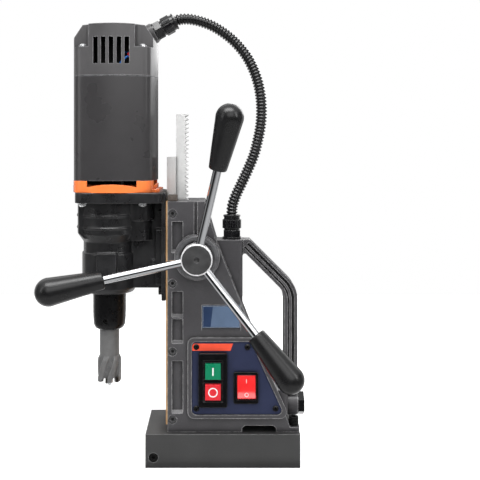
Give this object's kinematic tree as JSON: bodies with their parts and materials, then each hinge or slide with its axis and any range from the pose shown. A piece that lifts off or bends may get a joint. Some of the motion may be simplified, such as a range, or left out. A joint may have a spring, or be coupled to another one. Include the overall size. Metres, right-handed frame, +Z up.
{
  "type": "magnetic drill press",
  "caption": "Magnetic-base drill press: geared motor and annular cutter on a dovetail slide, rack feed with a spoked lever, switch panel and carry handle.",
  "frame": {"origin": "centre of the magnet's bottom face, which clamps to the work", "axes": "+Z up the column, +X to the rear where the handle is, -X to the spindle, -Y to the side with the feed lever and the switches"},
  "size_m": [0.2801, 0.147, 0.4908],
  "materials": {
    "base_steel": "satin",
    "coil_wire": "satin",
    "potting": "matte",
    "black_fastener": "satin",
    "cast_grey": "satin",
    "cast_black": "satin",
    "gib_brass": "satin",
    "felt": "matte",
    "panel_blue": "satin",
    "gloss_black": "gloss",
    "button_green": "gloss",
    "button_red": "gloss",
    "circuit_board": "satin",
    "black_nylon": "satin",
    "ground_steel": "satin",
    "chrome": "polished",
    "hub_dark": "satin",
    "knob_black": "satin",
    "fan_orange": "gloss",
    "motor_grey": "satin",
    "zinc": "polished",
    "carbon": "matte",
    "copper": "satin",
    "black_oxide": "satin",
    "cutter_grey": "satin"
  },
  "bodies": {
    "root": {"magnet_base": "base_steel", "magnet_coil": "coil_wire", "magnet_potting": "potting", "base_side_screws": "black_fastener", "base_screws": "black_fastener", "column_casting": "cast_grey", "gib_strips": "gib_brass", "gib_screws": "black_fastener", "slide_wiper": "felt", "carry_handle": "cast_grey", "control_panel": "panel_blue", "panel_screws": "black_fastener", "name_plate": "panel_blue", "motor_switch_housing": "gloss_black", "rocker_housing": "gloss_black", "control_board": "circuit_board", "column_gland": "black_nylon", "conduit": "black_nylon", "mains_gland": "black_nylon", "feed_bushes": "gib_brass"},
    "carriage": {"gearbox_housing": "cast_black", "gear_plate": "ground_steel", "slide_bar": "ground_steel", "rack": "ground_steel", "slide_screws": "black_fastener", "gearbox_screws": "zinc", "fan_ring": "fan_orange", "motor_housing": "motor_grey", "motor_cap": "motor_grey", "cap_screws": "zinc", "motor_gland": "black_nylon", "stator_core": "ground_steel", "field_coils": "coil_wire", "brush_holders": "gib_brass", "carbon_brushes": "carbon", "terminal_block": "gloss_black", "armature_bearings": "ground_steel", "intermediate_bearings": "ground_steel", "spindle_bearings": "ground_steel"},
    "feed_lever": {"feed_pinion_shaft": "ground_steel", "feed_hub": "chrome", "hub_cap": "hub_dark", "spokes": "chrome", "knobs": "knob_black", "shaft_retainer": "ground_steel"},
    "spindle": {"spindle": "ground_steel", "spindle_gear": "ground_steel", "arbor": "black_oxide", "arbor_screws": "black_fastener", "cutter": "cutter_grey", "pilot_spring": "ground_steel"},
    "intermediate": {"intermediate_wheel": "ground_steel", "intermediate_pinion": "ground_steel"},
    "armature": {"armature": "ground_steel", "commutator": "copper", "cooling_fan": "carbon"},
    "pilot": {"pilot_pin": "ground_steel"},
    "on_button": {"on_button": "button_green"},
    "off_button": {"off_button": "button_red"},
    "magnet_rocker": {"magnet_rocker": "button_red"}
  },
  "joints": [
    {"name": "carriage_slide", "type": "slide", "parent": "root", "child": "carriage", "axis": [0, 0, 1], "range_m": [-0.125, 0], "deforming": ["conduit"]},
    {"name": "feed_lever_turn", "type": "hinge", "parent": "root", "child": "feed_lever", "pos_m": [-0.0275, 0, 0.2245], "axis": [0, 1, 0], "range_deg": [-600, 0]},
    {"name": "spindle_spin", "type": "hinge", "parent": "carriage", "child": "spindle", "pos_m": [-0.126, 0, 0.2], "axis": [0, 0, 1], "continuous": true},
    {"name": "intermediate_spin", "type": "hinge", "parent": "carriage", "child": "intermediate", "pos_m": [-0.09317, -0.01061, 0.27], "axis": [0, 0, 1], "continuous": true},
    {"name": "armature_spin", "type": "hinge", "parent": "carriage", "child": "armature", "pos_m": [-0.118, 0, 0.35], "axis": [0, 0, 1], "continuous": true},
    {"name": "pilot_pin_press", "type": "slide", "parent": "spindle", "child": "pilot", "axis": [0, 0, 1], "range_m": [0, 0.02], "stiffness_N_per_m": 200, "springref_m": -0.01, "deforming": ["pilot_spring"]},
    {"name": "on_button_press", "type": "slide", "parent": "root", "child": "on_button", "axis": [0, 1, 0], "range_m": [0, 0.003], "stiffness_N_per_m": 400, "springref_m": -0.001},
    {"name": "off_button_press", "type": "slide", "parent": "root", "child": "off_button", "axis": [0, 1, 0], "range_m": [0, 0.003], "stiffness_N_per_m": 400, "springref_m": -0.001},
    {"name": "magnet_rocker_tilt", "type": "hinge", "parent": "root", "child": "magnet_rocker", "pos_m": [0.02525, -0.034, 0.085], "axis": [1, 0, 0], "range_deg": [0, 22]}
  ],
  "couplings": [
    {"joint": "feed_lever_turn", "follows": "carriage_slide", "rad_per_m": 83.333},
    {"joint": "intermediate_spin", "follows": "spindle_spin", "ratio": -2.8333},
    {"joint": "armature_spin", "follows": "spindle_spin", "ratio": 9.9167}
  ]
}
